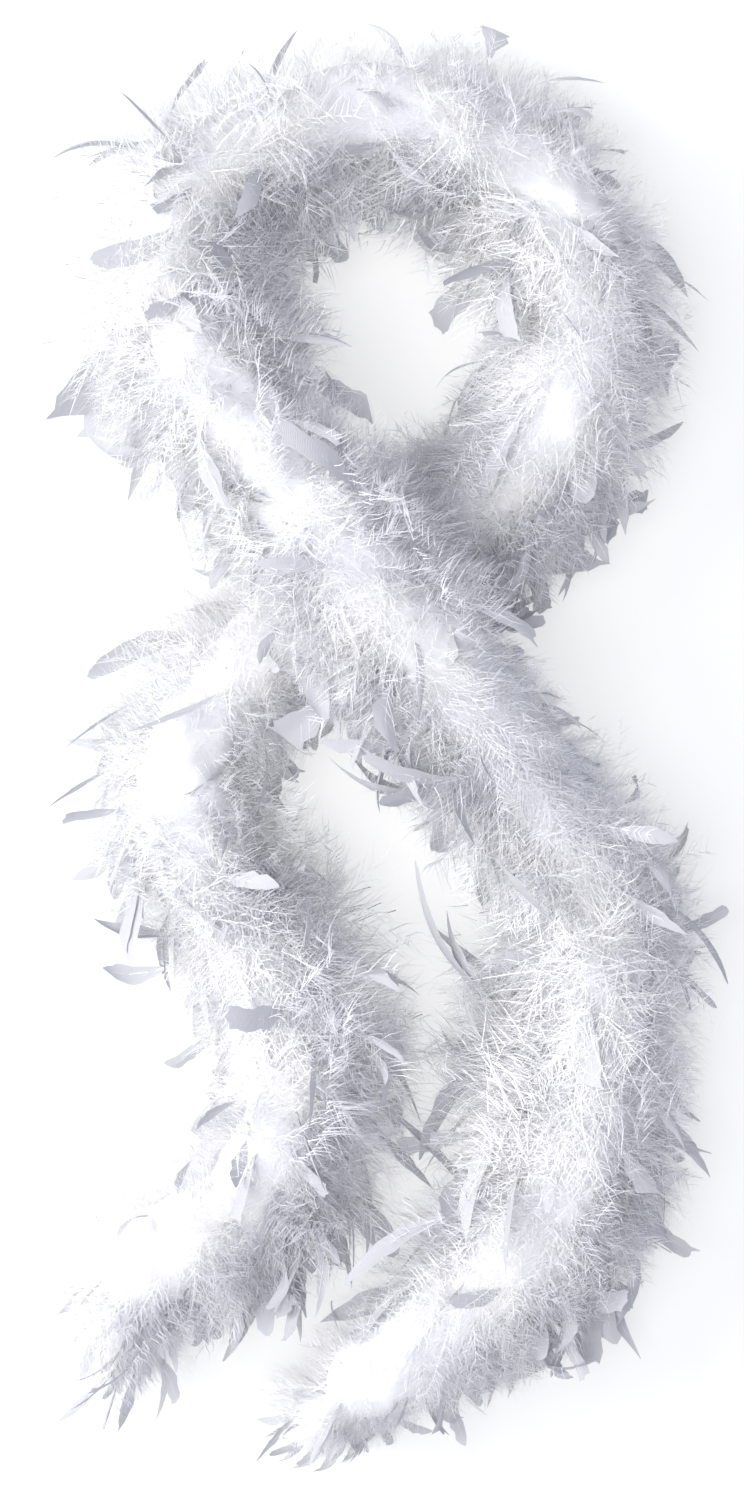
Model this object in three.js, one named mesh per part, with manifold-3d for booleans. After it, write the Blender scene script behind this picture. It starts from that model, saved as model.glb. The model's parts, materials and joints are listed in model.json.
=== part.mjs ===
// A feather boa, laid flat: one long cord with feathers bound round it, the middle in a neck loop whose two
// strands cross, and both tails side by side. The boa bends anywhere along its length, which is modelled as
// a chain of short tufts. Each tuft has its own stretch of cord, its own quill binding and its own feathers,
// and neighbouring tufts meet at the cord, where one turns on the other.
// Millimetres. +Z is up, z = 0 is the surface that the boa lies on, and +Y runs from the tails to the loop.

import * as THREE from 'three';
import { mergeVertices } from 'three/addons/utils/BufferGeometryUtils.js';
import Module from 'manifold-3d';

const wasm = await Module();
wasm.setup();

// Driving dimensions
const boaLength = 1830; // along the cord, end loops included
const plumeRadius = 69; // cord to feather tips, lying loose
const cordRadius = 2;
const bindingThickness = 2.2; // the quills and the thread wound over them
const sleeveThickness = 4.5; // packed feather bases next to the binding
const clearance = 0.3; // between a piece and the one inside it, and between neighbouring cord stretches
const tailTufts = 4;
const loopTufts = 5; // between the two tufts that cross
const feathersPerTuft = 12;
const spiralTurns = 2.4; // turns that a tuft's feathers make round the cord
const featherWidth = 26;
const featherThickness = 3;
const featherPitch = THREE.MathUtils.degToRad(35); // how far a blade is turned from square to the cord
const tuftMargin = 15; // from a joint to the middle of the nearest feather's blade
const sleeveMargin = 4; // from a joint to the nearest feather bases and binding
const loopCordRadius = 1.4;
const loopReach = 17; // length of an end loop
const loopWidth = 11;
const knotRadius = 5;
const whippingLength = 9;
const whippingThickness = 1.1;

// Heights of the cord over the surface, as shares of the plume radius
const restHeight = 0.72;
const pressedHeight = 0.42; // the lower strand, flattened where the other crosses it
const raisedHeight = 1.54; // the upper strand, where it crosses
const looseShare = 0.84; // how far feathers stand up or down from a cord that lies at rest
const pressedShare = 0.44; // the same, for the lower strand at the crossing
const carriedShare = 0.64; // the same, for the underside of the upper strand at the crossing

// Resolution
const sides = 8;
const ringsPerTuft = 4;

// Worked out from the driving dimensions
const bindingRadius = cordRadius + clearance + bindingThickness;
const sleeveBore = bindingRadius + clearance;
const sleeveRadius = sleeveBore + sleeveThickness;
const whippingRadius = cordRadius + clearance + whippingThickness;
const endHardware = loopReach + 2 * knotRadius + 2 * clearance; // end loop and knot
const bareEnd = endHardware + cordRadius + whippingLength; // the stretch with no feathers

// The laid route of the cord, from one tail's end to the other's, as [x, y, height share].
const layout = [
  [-146, -338, restHeight],
  [-120, -278, restHeight],
  [-72, -244, restHeight],
  [-42, -192, restHeight],
  [-46, -132, restHeight],
  [-81, -74, restHeight],
  [-102, -10, restHeight],
  [-68, 44, 0.6],
  [0, 92, pressedHeight],
  [54, 128, 0.58],
  [103, 176, restHeight],
  [116, 245, restHeight],
  [90, 308, restHeight],
  [28, 340, restHeight],
  [-40, 336, restHeight],
  [-93, 300, restHeight],
  [-100, 238, 0.92],
  [-64, 164, 1.38],
  [0, 92, raisedHeight],
  [50, 30, 1.38],
  [92, -20, 0.95],
  [121, -74, restHeight],
  [124, -135, restHeight],
  [119, -190, restHeight],
  [104, -246, restHeight],
  [56, -294, restHeight],
  [4, -336, restHeight],
  [-50, -372, restHeight],
];
const lowerCrossing = 8; // place in the layout where this strand lies underneath
const upperCrossing = 18; // place in the layout where the other strand lies on top

const feather = new THREE.MeshStandardMaterial({ color: 0xf4f3f7, roughness: 0.92, metalness: 0 });
const cordCotton = new THREE.MeshStandardMaterial({ color: 0xe9e6e0, roughness: 0.85, metalness: 0 });
const thread = new THREE.MeshStandardMaterial({ color: 0xf0eeea, roughness: 0.7, metalness: 0 });

/** The cord's route with its plan drawn at the given scale. */
function layRoute(planScale) {
  const places = layout.map(([x, y, share]) => (
    new THREE.Vector3(x * planScale, y * planScale, share * plumeRadius)
  ));
  const laid = new THREE.CatmullRomCurve3(places);
  laid.arcLengthDivisions = 1400;
  return laid;
}

/** The plan scale at which the cord's length along its route is the boa's length. */
function fitPlanScale() {
  let planScale = 1;
  for (let round = 0; round < 5; round += 1) {
    planScale *= boaLength / layRoute(planScale).getLength();
  }
  return planScale;
}

const route = layRoute(fitPlanScale());

/** Distance along the cord to a place in the layout. */
function distanceTo(place) {
  const lengths = route.getLengths(route.arcLengthDivisions);
  return lengths[Math.round((place / (layout.length - 1)) * route.arcLengthDivisions)];
}

/** Places along the cord where one tuft meets the next, both of the cord's ends included. */
function findTuftEnds() {
  const lower = distanceTo(lowerCrossing);
  const upper = distanceTo(upperCrossing);
  const loopStep = (upper - lower) / (loopTufts + 1);
  const first = lower - loopStep / 2;
  const last = upper + loopStep / 2;
  const leftTail = evenPlaces(0, first, tailTufts);
  const crossed = evenPlaces(first, last, loopTufts + 2);
  const rightTail = evenPlaces(last, boaLength, tailTufts);
  return [...leftTail, ...crossed.slice(1), ...rightTail.slice(1)];
}

/** Evenly spaced places from one distance to another, both included. */
function evenPlaces(from, to, steps) {
  return Array.from({ length: steps + 1 }, (_, i) => THREE.MathUtils.lerp(from, to, i / steps));
}

/** Distances along the cord at which every tube has a ring. */
function findRings() {
  return tuftEnds.flatMap((from, i) => (
    i + 1 < tuftEnds.length ? evenPlaces(from, tuftEnds[i + 1], ringsPerTuft).slice(0, -1) : [from]
  ));
}

/** The cord's place and frame on the smooth route: sideways is level, up is square to the cord. */
function frameOnRoute(distance) {
  const place = route.getPointAt(distance / boaLength);
  const ahead = route.getTangentAt(distance / boaLength);
  const sideways = new THREE.Vector3().crossVectors(ahead, new THREE.Vector3(0, 0, 1)).normalize();
  const up = new THREE.Vector3().crossVectors(sideways, ahead);
  return { place, sideways, up };
}

const tuftEnds = findTuftEnds();
const rings = findRings();
const ringFrames = rings.map(frameOnRoute);

/** The place and frame at a distance, straight between rings so that nested tubes stay nested. */
function frameAt(distance) {
  const beyond = rings.findIndex((ring) => ring > distance);
  const next = beyond < 0 ? rings.length - 1 : Math.max(beyond, 1);
  const share = (distance - rings[next - 1]) / (rings[next] - rings[next - 1]);
  const [one, other] = [ringFrames[next - 1], ringFrames[next]];
  return {
    place: one.place.clone().lerp(other.place, share),
    sideways: one.sideways.clone().lerp(other.sideways, share),
    up: one.up.clone().lerp(other.up, share),
  };
}

/** Bends a straight geometry on to the cord. Its Y is the distance along the cord and its Z is up. */
function bend(geometry) {
  const points = geometry.attributes.position;
  for (let i = 0; i < points.count; i += 1) {
    const { place, sideways, up } = frameAt(points.getY(i));
    place.addScaledVector(sideways, points.getX(i));
    place.addScaledVector(up, points.getZ(i));
    points.setXYZ(i, place.x, place.y, place.z);
  }
  return geometry;
}

/** A geometry as a manifold solid. */
function toSolid(geometry) {
  const bare = geometry.clone();
  bare.deleteAttribute('normal');
  bare.deleteAttribute('uv');
  const merged = mergeVertices(bare, 1e-4);
  return new wasm.Manifold(new wasm.Mesh({
    numProp: 3,
    vertProperties: Float32Array.from(merged.attributes.position.array),
    triVerts: Uint32Array.from(merged.index.array),
  }));
}

/** A manifold solid as a geometry. */
function toGeometry(solid) {
  const { vertProperties, triVerts } = solid.getMesh();
  const geometry = new THREE.BufferGeometry();
  geometry.setAttribute('position', new THREE.BufferAttribute(Float32Array.from(vertProperties), 3));
  geometry.setIndex(new THREE.BufferAttribute(Uint32Array.from(triVerts), 1));
  geometry.computeVertexNormals();
  return geometry;
}

function makeMesh(name, geometry, material) {
  const mesh = new THREE.Mesh(geometry, material);
  mesh.name = name;
  return mesh;
}

/** Ring places from one distance along the cord to another, both included. */
function ringPlaces(from, to) {
  const closest = 0.5; // a ring nearer than this to an end is left out
  return [from, ...rings.filter((ring) => ring > from + closest && ring < to - closest), to];
}

/** A straight tube along +Y. */
function tube(inner, outer, from, to) {
  const places = ringPlaces(from, to);
  const wall = places.map((y) => new THREE.Vector2(outer, y));
  const bore = places.toReversed().map((y) => new THREE.Vector2(inner, y));
  return new THREE.LatheGeometry([...wall, ...bore, wall[0].clone()], sides);
}

/** A straight cord along +Y with a round end at each end. */
function roundEndedCord(radius, from, to) {
  const shoulder = radius * Math.SQRT1_2;
  const profile = [
    new THREE.Vector2(0, from),
    new THREE.Vector2(shoulder, from + radius - shoulder),
    ...ringPlaces(from + radius, to - radius).map((y) => new THREE.Vector2(radius, y)),
    new THREE.Vector2(shoulder, to - radius + shoulder),
    new THREE.Vector2(0, to),
  ];
  return new THREE.LatheGeometry(profile, sides);
}

/** How far a feather stands up or down at a distance along the cord, as a share of its loose reach. */
function standShare(height, above) {
  const share = height / plumeRadius;
  if (share < restHeight) {
    return THREE.MathUtils.mapLinear(share, pressedHeight, restHeight, pressedShare, looseShare);
  }
  return above
    ? looseShare
    : THREE.MathUtils.mapLinear(share, restHeight, raisedHeight, looseShare, carriedShare);
}

/** Presses a straight plume's top and underside towards the cord, as far as it is flattened there. */
function press(geometry) {
  const points = geometry.attributes.position;
  for (let i = 0; i < points.count; i += 1) {
    const rise = points.getZ(i);
    const beyond = Math.abs(rise) - sleeveRadius;
    if (beyond > 0) {
      const height = frameAt(points.getY(i)).place.z;
      const reach = standShare(height, rise > 0) * plumeRadius - sleeveRadius;
      const pressed = sleeveRadius + (beyond * reach) / (plumeRadius - sleeveRadius);
      points.setZ(i, Math.sign(rise) * pressed);
    }
  }
  return geometry;
}

/** One feather's blade, standing up from the cord: narrow at the quill, widest past the middle. */
function featherBlade(reach) {
  const root = sleeveBore + sleeveThickness / 2;
  const half = featherWidth / 2;
  const outline = new THREE.Shape([
    new THREE.Vector2(-half * 0.3, root),
    new THREE.Vector2(half * 0.3, root),
    new THREE.Vector2(half, root + (reach - root) * 0.62),
    new THREE.Vector2(0, reach),
    new THREE.Vector2(-half, root + (reach - root) * 0.62),
  ]);
  const blade = new THREE.ExtrudeGeometry(outline, { depth: featherThickness, bevelEnabled: false });
  blade.translate(0, 0, -featherThickness / 2);
  blade.rotateX(Math.PI / 2);
  return blade;
}

/** The feathers of one tuft on their sleeve, cut level where the tuft lies on the surface. */
function makePlumage(from, to) {
  const firstFeather = from + tuftMargin;
  const lastFeather = to - tuftMargin;
  let solid = toSolid(bend(tube(sleeveBore, sleeveRadius, from + sleeveMargin, to - sleeveMargin)));
  for (let i = 0; i < feathersPerTuft; i += 1) {
    const along = i / (feathersPerTuft - 1);
    const blade = featherBlade(plumeRadius * (0.9 + 0.1 * Math.cos(i * 2.4)));
    blade.rotateZ(featherPitch * (i % 2 ? 1 : -1));
    blade.rotateY(from / spiralTurns + along * spiralTurns * 2 * Math.PI);
    blade.translate(0, THREE.MathUtils.lerp(firstFeather, lastFeather, along), 0);
    solid = solid.add(toSolid(bend(press(blade))));
  }
  return toGeometry(solid.subtract(groundUnder(from, to)));
}

/** A block from the surface down, larger than a tuft. */
function groundUnder(from, to) {
  const { place } = frameAt((from + to) / 2);
  const depth = 2 * plumeRadius;
  const span = to - from + 4 * plumeRadius;
  const block = new THREE.BoxGeometry(span, span, depth);
  block.translate(place.x, place.y, -depth / 2);
  return toSolid(block);
}

/** The loop, knot and whipping at one end, drawn at the cord's start and turned round for its other end. */
function makeEnd(label, turned) {
  const group = new THREE.Group();
  const ring = loopWidth / 2 - loopCordRadius;
  const loop = new THREE.TorusGeometry(ring, loopCordRadius, sides, 12);
  loop.scale(1, loopReach / loopWidth, 1);
  loop.translate(0, loopReach / 2, 0);
  const knot = new THREE.SphereGeometry(knotRadius, sides, 6);
  knot.translate(0, loopReach + clearance + knotRadius, 0);
  const whippingFrom = endHardware + cordRadius;
  const whippingTo = whippingFrom + whippingLength;
  const whipping = tube(cordRadius + clearance, whippingRadius, whippingFrom, whippingTo);
  const pieces = [
    ['end_loop', loop, cordCotton],
    ['end_knot', knot, cordCotton],
    ['end_whipping', whipping, thread],
  ];
  for (const [name, geometry, material] of pieces) {
    if (turned) {
      geometry.rotateZ(Math.PI);
      geometry.translate(0, boaLength, 0);
    }
    group.add(makeMesh(`${name}_${label}`, bend(geometry), material));
  }
  return group;
}

/** One tuft: its stretch of cord, the binding on the cord, and the feathers on the binding. */
function makeTuft(number, from, to) {
  const group = new THREE.Group();
  const label = String(number).padStart(2, '0');
  const isFirst = from === 0;
  const isLast = to === boaLength;
  const cordFrom = from + (isFirst ? endHardware : clearance / 2);
  const cordTo = to - (isLast ? endHardware : clearance / 2);
  const plumeFrom = from + (isFirst ? bareEnd : 0);
  const plumeTo = to - (isLast ? bareEnd : 0);
  const cord = roundEndedCord(cordRadius, cordFrom, cordTo);
  const binding = tube(
    cordRadius + clearance,
    bindingRadius,
    plumeFrom + sleeveMargin,
    plumeTo - sleeveMargin,
  );
  group.add(makeMesh(`core_cord_${label}`, bend(cord), cordCotton));
  group.add(makeMesh(`quill_binding_${label}`, bend(binding), thread));
  group.add(makeMesh(`plumage_${label}`, makePlumage(plumeFrom, plumeTo), feather));
  return group;
}

const boa = new THREE.Group();
boa.name = 'feather_boa';
for (let i = 0; i + 1 < tuftEnds.length; i += 1) {
  boa.add(makeTuft(i + 1, tuftEnds[i], tuftEnds[i + 1]));
}
boa.add(makeEnd('left_tail', false));
boa.add(makeEnd('right_tail', true));

// The boa's own origin is the middle of the surface that it covers.
const middle = new THREE.Box3().setFromObject(boa, true).getCenter(new THREE.Vector3());
boa.position.set(-middle.x, -middle.y, 0);

export default boa;
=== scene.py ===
import json
import logging
import math
from collections.abc import Callable, Iterator
from dataclasses import dataclass, field
from enum import Enum

import bmesh
import bpy
import numpy as np
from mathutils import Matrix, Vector

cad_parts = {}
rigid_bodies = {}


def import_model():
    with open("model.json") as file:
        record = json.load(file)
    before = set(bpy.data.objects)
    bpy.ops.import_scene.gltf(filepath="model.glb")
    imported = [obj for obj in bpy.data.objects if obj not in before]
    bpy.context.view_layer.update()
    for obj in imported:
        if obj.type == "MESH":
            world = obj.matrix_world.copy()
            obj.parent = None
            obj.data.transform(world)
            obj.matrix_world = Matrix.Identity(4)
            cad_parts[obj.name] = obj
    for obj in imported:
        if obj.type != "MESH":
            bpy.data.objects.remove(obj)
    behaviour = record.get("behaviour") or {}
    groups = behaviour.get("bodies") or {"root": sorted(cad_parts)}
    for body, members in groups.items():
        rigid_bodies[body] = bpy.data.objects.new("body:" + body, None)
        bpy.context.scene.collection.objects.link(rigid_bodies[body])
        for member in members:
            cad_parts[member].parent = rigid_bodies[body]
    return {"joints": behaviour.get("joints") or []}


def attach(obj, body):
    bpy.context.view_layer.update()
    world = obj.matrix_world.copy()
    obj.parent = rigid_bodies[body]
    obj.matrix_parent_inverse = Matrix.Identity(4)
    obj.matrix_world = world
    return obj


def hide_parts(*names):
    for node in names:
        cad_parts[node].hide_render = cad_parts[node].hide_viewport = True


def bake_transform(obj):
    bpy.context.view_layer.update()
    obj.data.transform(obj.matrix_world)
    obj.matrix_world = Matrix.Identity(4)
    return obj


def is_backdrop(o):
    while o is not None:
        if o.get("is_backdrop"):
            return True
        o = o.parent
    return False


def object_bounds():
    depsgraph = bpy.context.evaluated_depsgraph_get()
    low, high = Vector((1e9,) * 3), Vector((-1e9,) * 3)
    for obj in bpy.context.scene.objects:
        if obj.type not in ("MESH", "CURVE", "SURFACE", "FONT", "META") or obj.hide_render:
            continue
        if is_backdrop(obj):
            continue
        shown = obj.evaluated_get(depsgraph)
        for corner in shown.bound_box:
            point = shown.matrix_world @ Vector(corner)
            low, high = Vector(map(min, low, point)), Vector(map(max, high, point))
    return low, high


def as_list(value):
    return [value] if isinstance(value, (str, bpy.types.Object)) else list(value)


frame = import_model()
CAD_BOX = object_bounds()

log = logging.getLogger("feather_boa")
Shader = bpy.types.ShaderNode


# -------------------------------------------------------------------------------- the cord's route


@dataclass
class Strand:
    """The laid route of the boa's cord, with a frame that follows it.

    The layout's places are x and y in metres before scaling, and the height as a share of the plume radius.
    Fullness is how far the feathers reach: the distance along the cord, then the reach to its right and to
    its left.
    """

    plume_radius: float = 0.069
    plan_scale: float = 0.985748
    shift: tuple[float, float] = (-0.00655, -0.00974)
    rest_height: float = 0.72
    pressed_height: float = 0.42
    raised_height: float = 1.54
    loose_share: float = 0.84
    pressed_share: float = 0.44
    carried_share: float = 0.64
    layout: tuple[tuple[float, float, float], ...] = (
        (-0.146, -0.338, 0.72),
        (-0.120, -0.278, 0.72),
        (-0.072, -0.244, 0.72),
        (-0.042, -0.192, 0.72),
        (-0.046, -0.132, 0.72),
        (-0.081, -0.074, 0.72),
        (-0.102, -0.010, 0.72),
        (-0.068, 0.044, 0.60),
        (0.000, 0.092, 0.42),
        (0.054, 0.128, 0.58),
        (0.103, 0.176, 0.72),
        (0.116, 0.245, 0.72),
        (0.090, 0.308, 0.72),
        (0.028, 0.340, 0.72),
        (-0.040, 0.336, 0.72),
        (-0.093, 0.300, 0.72),
        (-0.100, 0.238, 0.92),
        (-0.064, 0.164, 1.38),
        (0.000, 0.092, 1.54),
        (0.050, 0.030, 1.38),
        (0.092, -0.020, 0.95),
        (0.121, -0.074, 0.72),
        (0.124, -0.135, 0.72),
        (0.119, -0.190, 0.72),
        (0.104, -0.246, 0.72),
        (0.056, -0.294, 0.72),
        (0.004, -0.336, 0.72),
        (-0.050, -0.372, 0.72),
    )
    steps: int = 90
    fullness: tuple[tuple[float, float, float], ...] = (
        (0.00, 0.025, 0.025),
        (0.08, 0.055, 0.045),
        (0.25, 0.085, 0.060),
        (0.40, 0.055, 0.060),
        (0.60, 0.060, 0.065),
        (0.80, 0.055, 0.080),
        (0.90, 0.045, 0.060),
        (1.03, 0.070, 0.090),
        (1.15, 0.060, 0.055),
        (1.25, 0.070, 0.060),
        (1.35, 0.065, 0.040),
        (1.55, 0.090, 0.065),
        (1.72, 0.055, 0.050),
        (1.83, 0.025, 0.015),
    )

    def __post_init__(self) -> None:
        """Samples the smooth curve through the layout closely, with its distances and frames."""
        plan = np.array(self.layout)
        places = np.column_stack(
            [
                plan[:, 0] * self.plan_scale + self.shift[0],
                plan[:, 1] * self.plan_scale + self.shift[1],
                plan[:, 2] * self.plume_radius,
            ]
        )
        self.places = self._through(places)
        runs = np.linalg.norm(np.diff(self.places, axis=0), axis=1)
        self.distances = np.concatenate([[0.0], np.cumsum(runs)])
        self.length = float(self.distances[-1])
        ahead = np.gradient(self.places, self.distances, axis=0)
        ahead /= np.linalg.norm(ahead, axis=1, keepdims=True)
        sideways = np.cross(ahead, [0.0, 0.0, 1.0])
        sideways /= np.linalg.norm(sideways, axis=1, keepdims=True)
        self.ahead, self.sideways, self.up = ahead, sideways, np.cross(sideways, ahead)

    def _through(self, places: np.ndarray) -> np.ndarray:
        """A centripetal Catmull-Rom curve through all the places.

        Args:
            places: The places, one row each.

        Returns:
            Close points along the curve.
        """
        before, after = 2 * places[0] - places[1], 2 * places[-1] - places[-2]
        knots = np.vstack([before, places, after])
        spans = np.linalg.norm(np.diff(knots, axis=0), axis=1) ** 0.5
        t = np.linspace(0, 1, self.steps, endpoint=False)[:, None]
        curve = []
        for i in range(1, len(knots) - 2):
            p0, p1, p2, p3 = knots[i - 1 : i + 3]
            d0, d1, d2 = spans[i - 1 : i + 2]
            out = ((p1 - p0) / d0 - (p2 - p0) / (d0 + d1) + (p2 - p1) / d1) * d1
            back = ((p2 - p1) / d1 - (p3 - p1) / (d1 + d2) + (p3 - p2) / d2) * d1
            square, cube = -3 * p1 + 3 * p2 - 2 * out - back, 2 * p1 - 2 * p2 + out + back
            curve.append(p1 + out * t + square * t**2 + cube * t**3)
        return np.vstack([*curve, places[-1:]])

    def at(self, distance: np.ndarray | float) -> dict[str, np.ndarray]:
        """The cord's place and directions at some distances along it.

        Args:
            distance: One distance or several, in metres.

        Returns:
            Arrays named place, ahead, sideways and up, a row for each distance.
        """
        wanted = np.atleast_1d(np.asarray(distance, float))
        tables = {"place": self.places, "ahead": self.ahead, "sideways": self.sideways, "up": self.up}
        return {
            name: np.column_stack([np.interp(wanted, self.distances, table[:, k]) for k in range(3)])
            for name, table in tables.items()
        }

    def nearest(self, point: Vector | tuple[float, float, float]) -> float:
        """The distance along the cord of the place nearest to a point."""
        return float(self.distances[np.argmin(np.linalg.norm(self.places - np.array(point), axis=1))])

    def lay(self, points: np.ndarray) -> np.ndarray:
        """Bends straight points on to the cord.

        Args:
            points: Rows of sideways, distance along the cord, and up.

        Returns:
            The same points in the row frame.
        """
        here = self.at(points[:, 1])
        return here["place"] + here["sideways"] * points[:, :1] + here["up"] * points[:, 2:3]

    def reach(self, distance: np.ndarray, angle: np.ndarray) -> np.ndarray:
        """How far the feathers reach from the cord.

        Args:
            distance: Distances along the cord.
            angle: Directions round the cord, from the top towards its right.

        Returns:
            One reach in metres for each distance.
        """
        table = np.array(self.fullness)
        right, left = (np.interp(distance, table[:, 0], table[:, k]) for k in (1, 2))
        return left + (right - left) * (1 + np.sin(angle)) / 2

    def stand(self, height: np.ndarray, above: bool) -> np.ndarray:
        """How far feathers stand up or hang down from the cord, as a share of their loose reach.

        Args:
            height: The cord's heights over the surface.
            above: Whether the share is for the feathers above the cord.

        Returns:
            One share for each height.
        """
        share = height / self.plume_radius
        pressed = [self.pressed_height, self.rest_height], [self.pressed_share, self.loose_share]
        low = np.interp(share, *pressed)
        if above:
            return low
        carried = [self.rest_height, self.raised_height], [self.loose_share, self.carried_share]
        return np.where(share > self.rest_height, np.interp(share, *carried), low)


@dataclass(frozen=True)
class Stretch:
    """A stretch of the boa from the middle of one tuft to the middle of the next, across their joint.

    Turn is how far before and after the joint the span round it reaches; that span is worked out but not
    used.
    """

    number: int
    start: float
    end: float
    body: str
    other: str | None = None
    joint_at: float = 0.0
    turn: float = 0.042

    @property
    def label(self) -> str:
        """The stretch's number with two digits."""
        return f"{self.number:02d}"

    def attach(self, piece: bpy.types.Object, strand: Strand) -> None:
        """Makes a finished piece move with the stretch's tuft; where the stretch spans a joint, the piece's
        place is applied to its points instead.

        Args:
            piece: The piece, in place.
            strand: The cord's route.
        """
        if self.other is None:
            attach(piece, self.body)
            return
        span = strand.at([self.joint_at - self.turn, self.joint_at + self.turn])["place"]
        tuple(span[0])
        tuple(span[1])
        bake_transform(piece)


def make_stretches(strand: Strand) -> list[Stretch]:
    """Divides the boa into stretches at the middles of the CAD tufts.

    Args:
        strand: The cord's route.

    Returns:
        The stretches, from the left tail's end to the right tail's end.
    """
    joints = sorted(
        (strand.nearest(j["pos_m"]), *sorted((j["parent"], j["child"]))) for j in frame["joints"]
    )
    ends = [0.0, *(joint[0] for joint in joints), strand.length]
    middles = [(a + b) / 2 for a, b in zip(ends, ends[1:])]
    stretches = [Stretch(1, 0.0, middles[0], joints[0][1])]
    for i, (distance, body, other) in enumerate(joints):
        stretches.append(Stretch(i + 2, middles[i], middles[i + 1], body, other, distance))
    stretches.append(Stretch(len(stretches) + 1, middles[-1], strand.length, joints[-1][2]))
    return stretches


# ---------------------------------------------------------------------------------------- finishes


@dataclass(frozen=True)
class Finish:
    """What every finish shares: a name, a colour and a roughness."""

    name: str
    colour: tuple[float, float, float]
    roughness: float = 0.9

    def start(self) -> tuple[bpy.types.Material, bpy.types.NodeTree, Shader, Shader]:
        """Makes the material with its Principled shader.

        Returns:
            The material, its nodes, the Principled shader and the output.
        """
        material = bpy.data.materials.new(self.name)
        material.use_nodes = True
        tree = material.node_tree
        principled = tree.nodes["Principled BSDF"]
        principled.inputs["Base Color"].default_value = (*self.colour, 1)
        principled.inputs["Roughness"].default_value = self.roughness
        return material, tree, principled, tree.nodes["Material Output"]

    @staticmethod
    def add(tree: bpy.types.NodeTree, kind: str, **values: object) -> Shader:
        """Adds a node and sets its values.

        Args:
            tree: The material's nodes.
            kind: The node's type.
            values: Properties of the node, and input values under the sockets' names with _ for a space.

        Returns:
            The new node.
        """
        node = tree.nodes.new(kind)
        for name, value in values.items():
            if name in node.bl_rna.properties:
                setattr(node, name, value)
            else:
                node.inputs[name.replace("_", " ")].default_value = value
        return node

    def let_through(
        self,
        tree: bpy.types.NodeTree,
        surface: Shader,
        output: Shader,
        tint: bpy.types.NodeSocket,
        share: float,
    ) -> None:
        """Colours a surface, and lets a share of the light through it.

        Args:
            tree: The material's nodes.
            surface: The Principled shader.
            output: The material's output.
            tint: The colour.
            share: The share of the light.
        """
        through = self.add(tree, "ShaderNodeBsdfTranslucent")
        both = self.add(tree, "ShaderNodeMixShader", Fac=share)
        link = tree.links.new
        link(tint, surface.inputs["Base Color"])
        link(tint, through.inputs["Color"])
        link(surface.outputs["BSDF"], both.inputs[1])
        link(through.outputs["BSDF"], both.inputs[2])
        link(both.outputs["Shader"], output.inputs["Surface"])


@dataclass(frozen=True)
class DownFinish(Finish):
    """Soft down: matt, lets light through, and a little warmer or bluer from place to place."""

    cool: tuple[float, float, float] = (0.93, 0.935, 0.965)
    patch_scale: float = 26.0
    see_through: float = 0.38

    def make(self) -> bpy.types.Material:
        """Makes the finish.

        Returns:
            The material.
        """
        material, tree, principled, output = self.start()
        place = tree.nodes.new("ShaderNodeTexCoord")
        patches = self.add(tree, "ShaderNodeTexNoise", Scale=self.patch_scale, Detail=3.0, Roughness=0.6)
        tint = self.add(tree, "ShaderNodeValToRGB")
        tint.color_ramp.elements[0].position, tint.color_ramp.elements[1].position = 0.35, 0.62
        tint.color_ramp.elements[0].color = (*self.cool, 1)
        tint.color_ramp.elements[1].color = (*self.colour, 1)
        principled.inputs["Specular IOR Level"].default_value = 0.15
        principled.inputs["Sheen Weight"].default_value = 0.25
        principled.inputs["Sheen Roughness"].default_value = 0.6
        link = tree.links.new
        link(place.outputs["Object"], patches.inputs["Vector"])
        link(patches.outputs["Fac"], tint.inputs["Fac"])
        self.let_through(tree, principled, output, tint.outputs["Color"], self.see_through)
        return material


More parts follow.
